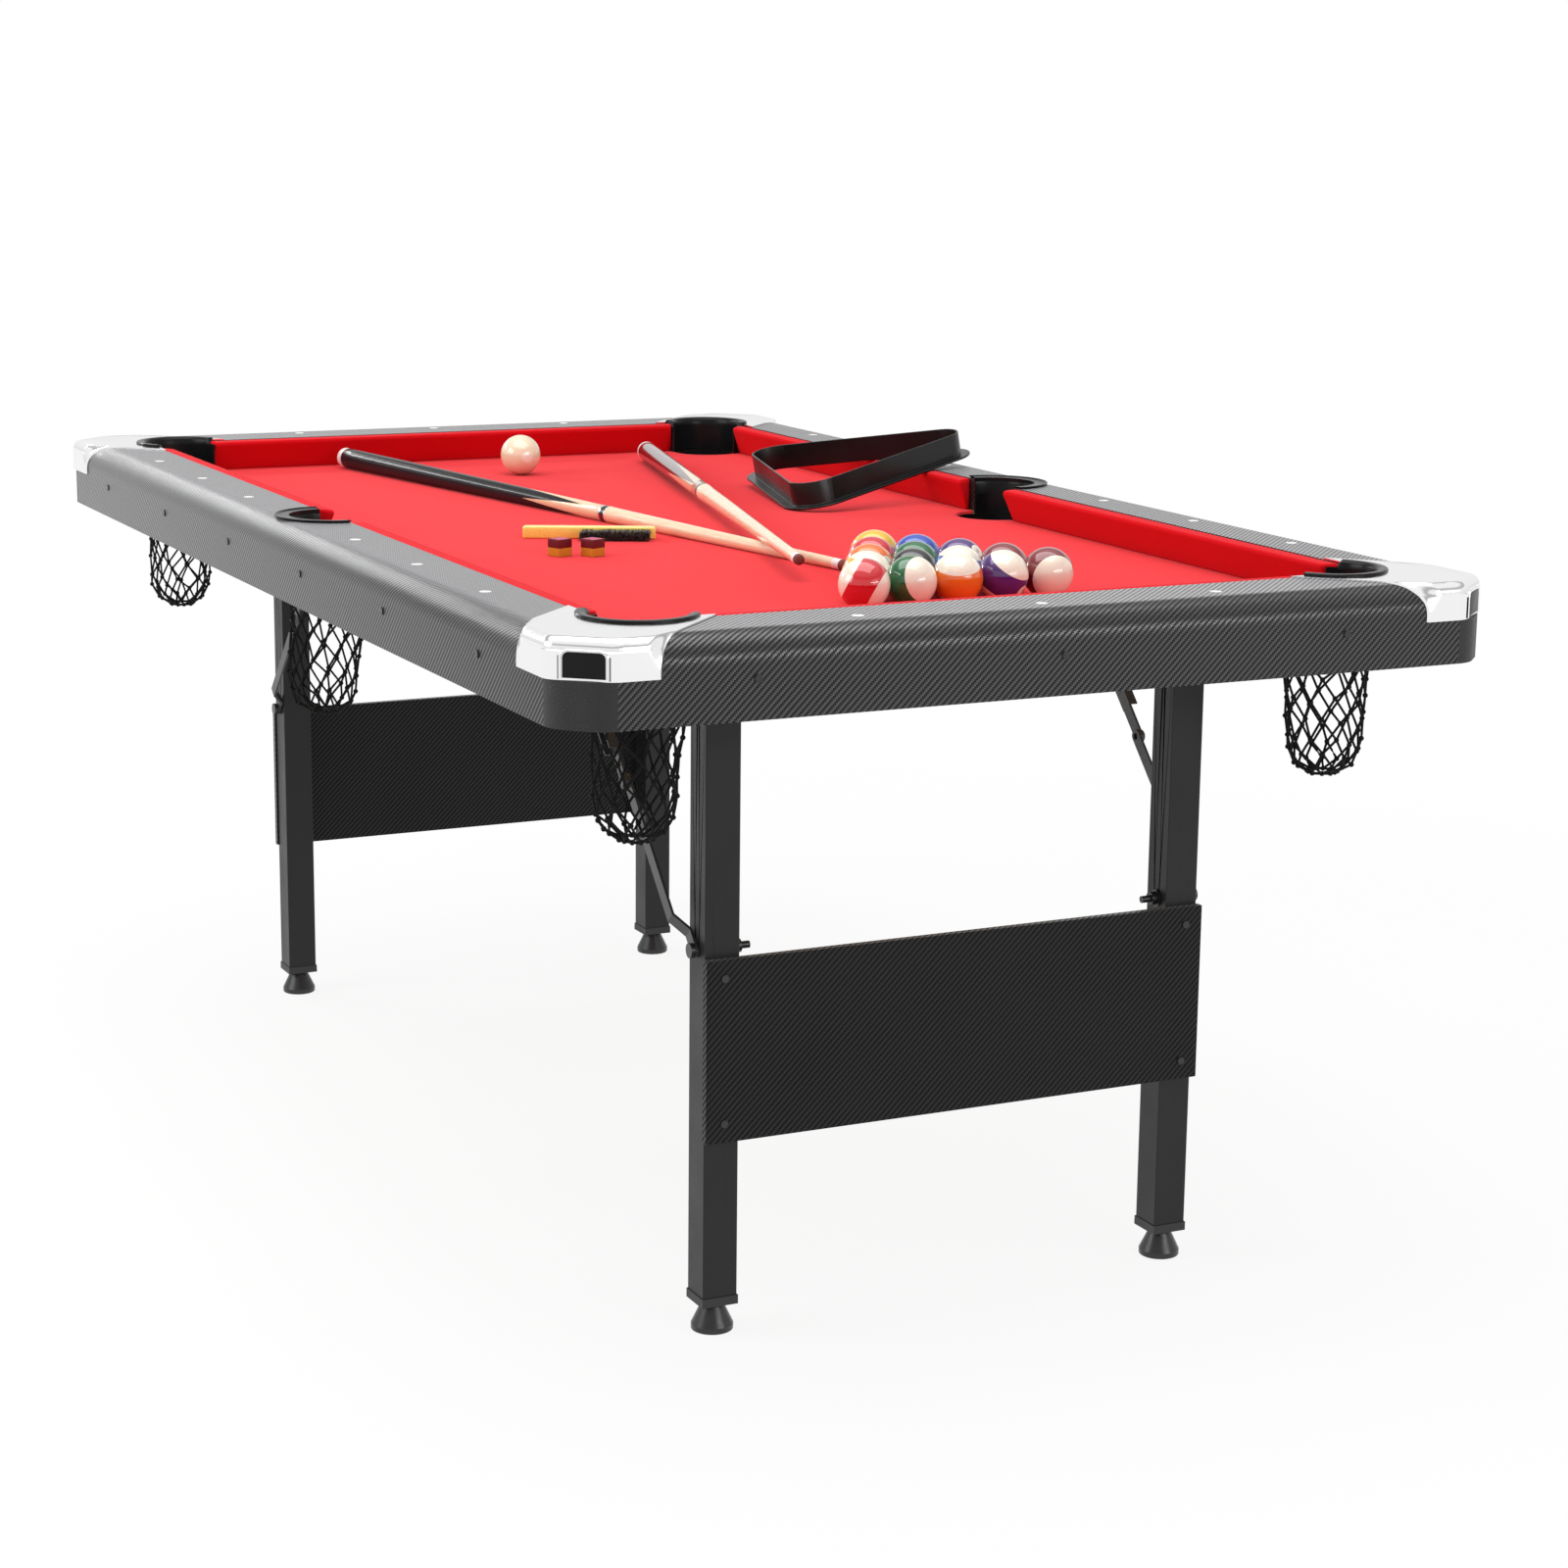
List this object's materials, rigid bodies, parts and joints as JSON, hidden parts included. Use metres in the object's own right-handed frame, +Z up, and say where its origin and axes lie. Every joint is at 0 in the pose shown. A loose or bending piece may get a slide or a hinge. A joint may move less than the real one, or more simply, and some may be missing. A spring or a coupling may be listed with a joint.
{
  "type": "folding pool table",
  "caption": "Folding-leg pool table with six net pockets, red cloth, chrome corners and its balls, cues, rack, brush and chalk.",
  "frame": {"origin": "floor level under the middle of the table", "axes": "+X along the length to the near end, +Y across the width to the right side, +Z up"},
  "size_m": [1.923, 1.094, 0.8485],
  "materials": {
    "fibreboard": "matt",
    "red_cloth": "napped cloth",
    "twill_laminate": "satin embossed film over fibreboard",
    "grained_plastic": "grained",
    "chrome_plate": "polished",
    "black_gloss": "gloss",
    "liner_plastic": "satin",
    "net_cord": "knotted cord",
    "white_sight": "gloss",
    "black_fastener": "black oxide",
    "brace_steel": "satin",
    "powder_coat": "satin powder coat",
    "cap_plastic": "matt",
    "foot_plastic": "satin",
    "ball_resin": "polished, one colour or stripe a ball",
    "cue_ball_resin": "polished",
    "cue_wood": "lacquered",
    "rack_plastic": "satin",
    "brush_yellow": "lacquered",
    "bristle": "fibre",
    "chalk_wrapper": "printed wrapper"
  },
  "bodies": {
    "table_top": {"playfield_board": "fibreboard", "playfield_cloth": "red_cloth", "side_rail_left": "twill_laminate", "side_rail_right": "twill_laminate", "end_rail_near": "twill_laminate", "end_rail_far": "twill_laminate", "side_apron_left": "twill_laminate", "side_apron_right": "twill_laminate", "end_apron_near": "twill_laminate", "end_apron_far": "twill_laminate", "corner_aprons": "grained_plastic", "corner_castings": "chrome_plate", "corner_inset_plates": "black_gloss", "side_cushions_left": "red_cloth", "side_cushions_right": "red_cloth", "end_cushions": "red_cloth", "corner_pocket_liners": "liner_plastic", "middle_pocket_liners": "liner_plastic", "pocket_nets": "net_cord", "rail_sights": "white_sight", "apron_screws": "black_fastener", "underframe_beams": "fibreboard", "hinge_brackets": "brace_steel", "leg_pivot_bolts": "black_fastener", "brace_anchors": "brace_steel"},
    "leg_frame_near": {"leg_near_left": "powder_coat", "leg_near_right": "powder_coat", "leg_cross_tube_near": "powder_coat", "end_panel_near": "twill_laminate", "panel_screws_near": "black_fastener", "brace_bolts_near": "black_fastener", "leg_end_caps_near": "cap_plastic"},
    "leg_frame_far": {"leg_far_left": "powder_coat", "leg_far_right": "powder_coat", "leg_cross_tube_far": "powder_coat", "end_panel_far": "twill_laminate", "panel_screws_far": "black_fastener", "brace_bolts_far": "black_fastener", "leg_end_caps_far": "cap_plastic"},
    "upper_brace_near_left": {"brace_upper_link_near_left": "brace_steel"},
    "lower_brace_near_left": {"brace_lower_link_near_left": "brace_steel"},
    "foot_near_left": {"levelling_foot_near_left": "foot_plastic"},
    "upper_brace_near_right": {"brace_upper_link_near_right": "brace_steel"},
    "lower_brace_near_right": {"brace_lower_link_near_right": "brace_steel"},
    "foot_near_right": {"levelling_foot_near_right": "foot_plastic"},
    "upper_brace_far_left": {"brace_upper_link_far_left": "brace_steel"},
    "lower_brace_far_left": {"brace_lower_link_far_left": "brace_steel"},
    "foot_far_left": {"levelling_foot_far_left": "foot_plastic"},
    "upper_brace_far_right": {"brace_upper_link_far_right": "brace_steel"},
    "lower_brace_far_right": {"brace_lower_link_far_right": "brace_steel"},
    "foot_far_right": {"levelling_foot_far_right": "foot_plastic"},
    "ball_set": {"object_balls": "ball_resin"},
    "cue_ball": {"cue_ball": "cue_ball_resin"},
    "lower_cue": {"cue_lower": "cue_wood"},
    "upper_cue": {"cue_upper": "cue_wood"},
    "rack": {"ball_rack": "rack_plastic"},
    "brush": {"brush_stock": "brush_yellow", "brush_bristles": "bristle"},
    "chalks": {"chalk_cubes": "chalk_wrapper"}
  },
  "joints": [
    {"name": "leg_fold_near", "type": "hinge", "parent": "table_top", "child": "leg_frame_near", "pos_m": [0.731, 0, 0.714], "axis": [0, 1, 0], "range_deg": [0, 90]},
    {"name": "leg_fold_far", "type": "hinge", "parent": "table_top", "child": "leg_frame_far", "pos_m": [-0.731, 0, 0.714], "axis": [0, -1, 0], "range_deg": [0, 90]},
    {"name": "brace_anchor_near_left", "type": "hinge", "parent": "table_top", "child": "upper_brace_near_left", "pos_m": [0.4415, -0.3238, 0.732], "axis": [0, 1, 0], "range_deg": [-43.24, 0.5]},
    {"name": "brace_foot_near_left", "type": "hinge", "parent": "leg_frame_near", "child": "lower_brace_near_left", "pos_m": [0.731, -0.306, 0.424], "axis": [0, 1, 0], "range_deg": [-0.5, 42.88]},
    {"name": "foot_level_near_left", "type": "slide", "parent": "leg_frame_near", "child": "foot_near_left", "axis": [0, 0, -1], "range_m": [0, 0.012]},
    {"name": "brace_anchor_near_right", "type": "hinge", "parent": "table_top", "child": "upper_brace_near_right", "pos_m": [0.4415, 0.3238, 0.732], "axis": [0, 1, 0], "range_deg": [-43.24, 0.5]},
    {"name": "brace_foot_near_right", "type": "hinge", "parent": "leg_frame_near", "child": "lower_brace_near_right", "pos_m": [0.731, 0.306, 0.424], "axis": [0, 1, 0], "range_deg": [-0.5, 42.88]},
    {"name": "foot_level_near_right", "type": "slide", "parent": "leg_frame_near", "child": "foot_near_right", "axis": [0, 0, -1], "range_m": [0, 0.012]},
    {"name": "brace_anchor_far_left", "type": "hinge", "parent": "table_top", "child": "upper_brace_far_left", "pos_m": [-0.4415, -0.3238, 0.732], "axis": [0, -1, 0], "range_deg": [-43.24, 0.5]},
    {"name": "brace_foot_far_left", "type": "hinge", "parent": "leg_frame_far", "child": "lower_brace_far_left", "pos_m": [-0.731, -0.306, 0.424], "axis": [0, -1, 0], "range_deg": [-0.5, 42.88]},
    {"name": "foot_level_far_left", "type": "slide", "parent": "leg_frame_far", "child": "foot_far_left", "axis": [0, 0, -1], "range_m": [0, 0.012]},
    {"name": "brace_anchor_far_right", "type": "hinge", "parent": "table_top", "child": "upper_brace_far_right", "pos_m": [-0.4415, 0.3238, 0.732], "axis": [0, -1, 0], "range_deg": [-43.24, 0.5]},
    {"name": "brace_foot_far_right", "type": "hinge", "parent": "leg_frame_far", "child": "lower_brace_far_right", "pos_m": [-0.731, 0.306, 0.424], "axis": [0, -1, 0], "range_deg": [-0.5, 42.88]},
    {"name": "foot_level_far_right", "type": "slide", "parent": "leg_frame_far", "child": "foot_far_right", "axis": [0, 0, -1], "range_m": [0, 0.012]},
    {"name": "racked_balls_lift", "type": "slide", "parent": "table_top", "child": "ball_set", "axis": [0, 0, 1], "range_m": [0, 0.15]},
    {"name": "cue_ball_lift", "type": "slide", "parent": "table_top", "child": "cue_ball", "axis": [0, 0, 1], "range_m": [0, 0.15]},
    {"name": "lower_cue_lift", "type": "slide", "parent": "table_top", "child": "lower_cue", "axis": [0, 0, 1], "range_m": [0, 0.15]},
    {"name": "upper_cue_lift", "type": "slide", "parent": "lower_cue", "child": "upper_cue", "axis": [0, 0, 1], "range_m": [0, 0.15]},
    {"name": "rack_lift", "type": "slide", "parent": "table_top", "child": "rack", "axis": [0, 0, 1], "range_m": [0, 0.15]},
    {"name": "brush_lift", "type": "slide", "parent": "table_top", "child": "brush", "axis": [0, 0, 1], "range_m": [0, 0.1]},
    {"name": "chalk_lift", "type": "slide", "parent": "table_top", "child": "chalks", "axis": [0, 0, 1], "range_m": [0, 0.1]}
  ],
  "couplings": [
    {"joint": "brace_anchor_near_left", "follows": "leg_fold_near", "ratio": -0.4749},
    {"joint": "brace_foot_near_left", "follows": "leg_fold_near", "ratio": 0.47085},
    {"joint": "brace_anchor_near_right", "follows": "leg_fold_near", "ratio": -0.4749},
    {"joint": "brace_foot_near_right", "follows": "leg_fold_near", "ratio": 0.47085},
    {"joint": "brace_anchor_far_left", "follows": "leg_fold_far", "ratio": -0.4749},
    {"joint": "brace_foot_far_left", "follows": "leg_fold_far", "ratio": 0.47085},
    {"joint": "brace_anchor_far_right", "follows": "leg_fold_far", "ratio": -0.4749},
    {"joint": "brace_foot_far_right", "follows": "leg_fold_far", "ratio": 0.47085}
  ]
}
